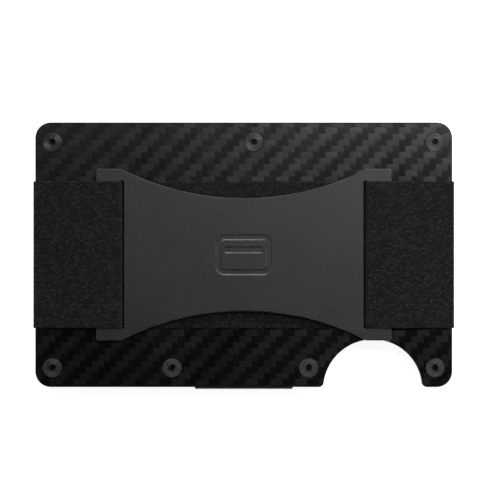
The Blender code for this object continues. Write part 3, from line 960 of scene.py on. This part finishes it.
def anodised_material():
    """Black anodised aluminium with fine milling marks, a little paler where edges are worn."""
    g = Graph("black_anodised_aluminium")
    x, y, z = g.split(g.place_mm())
    face = g.upright()
    streaks = g.join(g.math("MULTIPLY", x, 0.6), g.math("MULTIPLY", y, 14.0), z)
    marks = g.noise(streaks, 1.0, 3.0, 0.6)
    side_marks = g.noise(g.join(x, y, g.math("MULTIPLY", z, 11.0)), 1.4, 3.0, 0.6)
    grain = g.mix(face, side_marks, marks)
    patches = g.span(g.noise(g.place_mm(), 0.8, 4.0), 0.5, 0.75)
    wear = g.math("MULTIPLY", g.math("SUBTRACT", 1.0, face), patches)
    tone = g.span(grain, 0.3, 0.7, 0.020, 0.030)
    tone = g.math("ADD", tone, g.math("MULTIPLY", wear, 0.03))
    roughness = g.span(grain, 0.3, 0.7, 0.34, 0.46)
    normal = g.bump(grain, 0.012 * MM)
    return g.finish(g.grey(tone, (1.0, 1.0, 1.04)), roughness, normal, Metallic=0.6)


def steel_material():
    """Black-oxide steel with turning marks round the head, and a recess painted nearly black as
    painted shade deep in the hole.
    """
    g = Graph("black_oxide_steel")
    place = g.place_mm()
    x, y, z = g.split(place)
    radius = g.math("SQRT", g.math("ADD", g.math("MULTIPLY", x, x), g.math("MULTIPLY", y, y)))
    turning = g.noise(g.join(g.math("MULTIPLY", radius, 16.0), 0.0), 1.0, 3.0, 0.7)
    blotch = g.noise(place, 1.6, 3.0, 0.6)
    # Painted shade: the tone falls to near black with depth inside the star recess.
    top = g.span(z, -0.22, -0.12)
    tone = g.span(turning, 0.3, 0.7, 0.05, 0.09)
    tone = g.math("MULTIPLY", tone, g.span(blotch, 0.3, 0.7, 0.75, 1.2))
    tone = g.math("MULTIPLY", tone, g.mix(top, 0.15, 1.0))
    roughness = g.span(blotch, 0.3, 0.7, 0.34, 0.46)
    normal = g.bump(turning, 0.01 * MM)
    g.put(g.shader.inputs["Tangent"], g.join(x, y, 0.001))
    return g.finish(g.grey(tone), roughness, normal, Metallic=1.0, Anisotropic=0.6)


def satin_material():
    """Satin dark grey coating with a fine grain, painted brighter in patches along its edges: partly
    rubbed wear, partly a painted highlight.
    """
    g = Graph("satin_grey_coating")
    place = g.place_mm()
    grain = g.noise(place, 3.2, 4.0, 0.8)
    cloud = g.noise(place, 0.12, 3.0, 0.5)
    face = g.upright()
    patches = g.span(g.noise(place, 0.5, 4.0), 0.35, 0.7)
    edge_wear_and_highlight = g.math("MULTIPLY", g.math("SUBTRACT", 1.0, face), patches)
    tone = g.span(grain, 0.3, 0.7, 0.001, 0.024)
    tone = g.math("MULTIPLY", tone, g.span(cloud, 0.3, 0.7, 0.94, 1.06))
    # Edges are painted brighter: a painted highlight on the rounded edges, in patches that also stand
    # for rubbed wear.
    tone = g.math("ADD", tone, g.math("MULTIPLY", edge_wear_and_highlight, 0.05))
    roughness = g.span(g.math("ADD", grain, cloud), 0.7, 1.3, 0.33, 0.41)
    roughness = g.math("SUBTRACT", roughness, g.math("MULTIPLY", edge_wear_and_highlight, 0.14))
    normal = g.bump(grain, 0.025 * MM)
    return g.finish(g.grey(tone, (1.0, 1.0, 1.02)), roughness, normal, Specular_IOR_Level=0.55)


def elastic_material():
    """Black knitted elastic: slanted stitches, in pairs like a herringbone, of uneven tone."""
    g = Graph("black_elastic")
    weave = g.node("ShaderNodeUVMap", uv_map="weave").outputs[0]
    across, along, _ = g.split(weave)
    wale = g.math("DIVIDE", across, WALE_PITCH)
    half = g.math("FLOOR", wale)
    share = g.math("FRACT", wale)
    slant = g.math("SUBTRACT", g.math("MULTIPLY", g.math("FLOORED_MODULO", half, 2.0), 2.0), 1.0)
    wander = g.noise(weave, 0.7, 2.0)
    course = g.math("ADD", g.math("DIVIDE", along, COURSE_PITCH), g.math("MULTIPLY", slant, share))
    course = g.math("ADD", course, g.math("MULTIPLY", wander, 1.6))
    stitch = g.random(g.join(half, g.math("FLOOR", course), 3.0))
    thread = g.math("SINE", g.math("MULTIPLY", g.math("FRACT", course), math.pi))
    edge = g.math("SINE", g.math("MULTIPLY", share, math.pi))
    height = g.math("MULTIPLY", thread, g.math("POWER", edge, 0.6))
    height = g.math("MULTIPLY", height, g.span(stitch, 0.0, 1.0, 0.5, 1.0))
    fuzz = g.noise(weave, 5.0, 3.0, 0.7)
    mottle = g.noise(weave, 0.9, 3.0, 0.6)
    heather = g.noise(weave, 2.6, 2.0, 0.8)
    tone = g.span(height, 0.0, 0.9, 0.0020, 0.0095)
    tone = g.math("MULTIPLY", tone, g.span(stitch, 0.0, 1.0, 0.35, 1.75))
    tone = g.math("MULTIPLY", tone, g.span(fuzz, 0.3, 0.7, 0.4, 1.6))
    tone = g.math("MULTIPLY", tone, g.span(heather, 0.38, 0.62, 0.25, 1.85))
    tone = g.math("MULTIPLY", tone, g.span(mottle, 0.3, 0.7, 0.75, 1.3))
    relief = g.math("ADD", height, g.math("MULTIPLY", fuzz, 0.35))
    normal = g.bump(relief, 0.07 * MM)
    cloth = {"Sheen_Weight": 0.06, "Sheen_Roughness": 0.5, "Specular_IOR_Level": 0.25}
    return g.finish(g.grey(tone), 0.85, normal, **cloth)


def floor_material():
    """A nearly even pale floor, which glows a little so that it comes out as plain white."""
    g = Graph("pale_floor")
    soft = g.noise(g.place_mm(), 0.004, 2.0)
    tone = g.grey(g.span(soft, 0.3, 0.7, 0.90, 0.92))
    normal = g.bump(soft, 0.01 * MM)
    glow = {"Emission_Color": (1.0, 1.0, 1.0, 1.0), "Emission_Strength": 0.9}
    return g.finish(tone, 0.9, normal, Specular_IOR_Level=0.1, **glow)


# -------------------------------------------------------------------------------- studio


# The soft lights: name, place, aim, size and power.
LIGHTS = (
    ("overhead", (0.07, 0.08, 0.30), (0.07, 0.08, 0.0), (0.14, 0.06), 0.226),
    ("fill", (-0.05, 0.06, 0.30), (-0.05, 0.06, 0.0), (0.06, 0.06), 0.01),
    ("back", (0.05, 0.50, 0.24), (0.0, 0.0, 0.0), (0.5, 0.12), 1.6),
    ("key", (0.16, 0.10, 0.18), (0.0, 0.0, 0.0), (0.08, 0.08), 0.20),
)

# How the world's strength changes with direction: the axis, the range of directions along it, and
# the strength at each end. It is dark straight up, at the horizon and towards -Y.
WORLD_FADES = (
    ("Z", (0.1, 0.85), (0.8, 0.02)),
    ("Z", (0.0, 0.25), (0.15, 1.0)),
    ("Y", (-0.8, 0.8), (0.35, 1.5)),
)

FLOOR_REACH = 3.0
FLOOR_DROP = 0.05 * MM


def make_camera():
    """Straight above, with so long a lens that the sides do not show."""
    data = bpy.data.cameras.new("camera")
    data.lens = LENS
    data.sensor_width = SENSOR
    data.clip_start = 0.01
    camera = new_object("camera", data)
    camera.location = (VIEW_X, VIEW_Y, BACK_FACE_Z + VIEW_ACROSS * LENS / SENSOR)
    bpy.context.scene.camera = camera


def soft_light(name, place, aim, size, power):
    """A rectangular light that points from its place to its aim and does not show itself."""
    data = bpy.data.lights.new(name, "AREA")
    data.shape = "RECTANGLE"
    data.size = size[0]
    data.size_y = size[1]
    data.energy = power
    light = new_object(name, data)
    light.location = place
    light.rotation_euler = (Vector(aim) - Vector(place)).to_track_quat("-Z", "Y").to_euler()
    light.visible_camera = False


def make_world():
    """A white studio whose strength follows WORLD_FADES, and plain white where the camera sees it."""
    world = bpy.data.worlds.new("studio")
    bpy.context.scene.world = world
    world.use_nodes = True
    tree = world.node_tree
    coordinates = tree.nodes.new("ShaderNodeTexCoord")
    direction = tree.nodes.new("ShaderNodeSeparateXYZ")
    tree.links.new(coordinates.outputs["Generated"], direction.inputs[0])
    strength = None
    for axis, reach, strengths in WORLD_FADES:
        fade = tree.nodes.new("ShaderNodeMapRange")
        tree.links.new(direction.outputs[axis], fade.inputs[0])
        for index, value in enumerate((*reach, *strengths), start=1):
            fade.inputs[index].default_value = value
        product = tree.nodes.new("ShaderNodeMath")
        product.operation = "MULTIPLY"
        product.inputs[0].default_value = 1.0
        if strength is not None:
            tree.links.new(strength, product.inputs[0])
        tree.links.new(fade.outputs[0], product.inputs[1])
        strength = product.outputs[0]
    seen = tree.nodes.new("ShaderNodeLightPath")
    plain = tree.nodes.new("ShaderNodeMix")
    tree.links.new(seen.outputs["Is Camera Ray"], plain.inputs[0])
    tree.links.new(strength, plain.inputs[2])
    plain.inputs[3].default_value = 1.0
    background = tree.nodes["Background"]
    tree.links.new(plain.outputs[0], background.inputs["Strength"])
    background.inputs["Color"].default_value = (1.0, 1.0, 1.0, 1.0)


def make_floor():
    """A plain floor just under the wallet."""
    signs = ((-1, -1), (1, -1), (1, 1), (-1, 1))
    corners = [(sx * FLOOR_REACH, sy * FLOOR_REACH, -FLOOR_DROP) for sx, sy in signs]
    mesh = bpy.data.meshes.new("floor")
    mesh.from_pydata(corners, [], [(0, 1, 2, 3)])
    mesh.materials.append(floor_material())
    new_object("floor", mesh)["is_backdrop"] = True


def make_studio():
    """The world, the lights and the floor."""
    make_world()
    bpy.context.scene.view_settings.view_transform = "Standard"
    for light in LIGHTS:
        soft_light(*light)
    make_floor()


# ---------------------------------------------------------------------------------- build


def main():
    """Every piece of the wallet, then the studio."""
    make_camera()
    carbon = carbon_material()
    back = outer_plate("back_laminate", BACK_OUTER_Z, True, carbon)
    settle(back, "back_half", "carbon_fibre", "back_outer_plate")
    front = outer_plate("front_laminate", 0.0, False, carbon)
    settle(front, "front_half", "carbon_fibre", "front_outer_plate")
    anodised = anodised_material()
    back_liner = inner_plate("back_liner", BACK_INNER_Z, True, anodised)
    settle(back_liner, "back_half", "inner_plate", "back_inner_plate")
    front_liner = inner_plate("front_liner", FRONT_INNER_Z, False, anodised)
    settle(front_liner, "front_half", "inner_plate", "front_inner_plate")
    make_screws(screw_mesh(steel_material()))
    strap = strap_plate(satin_material())
    settle(strap, "cash_strap", "strap_metal", "strap_plate")
    make_bands(elastic_material())
    make_studio()


main()

visual_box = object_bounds()
boxes = {"cad": cad_box, "visual": visual_box}
boxes = {name: [list(corner) for corner in box] for name, box in boxes.items()}
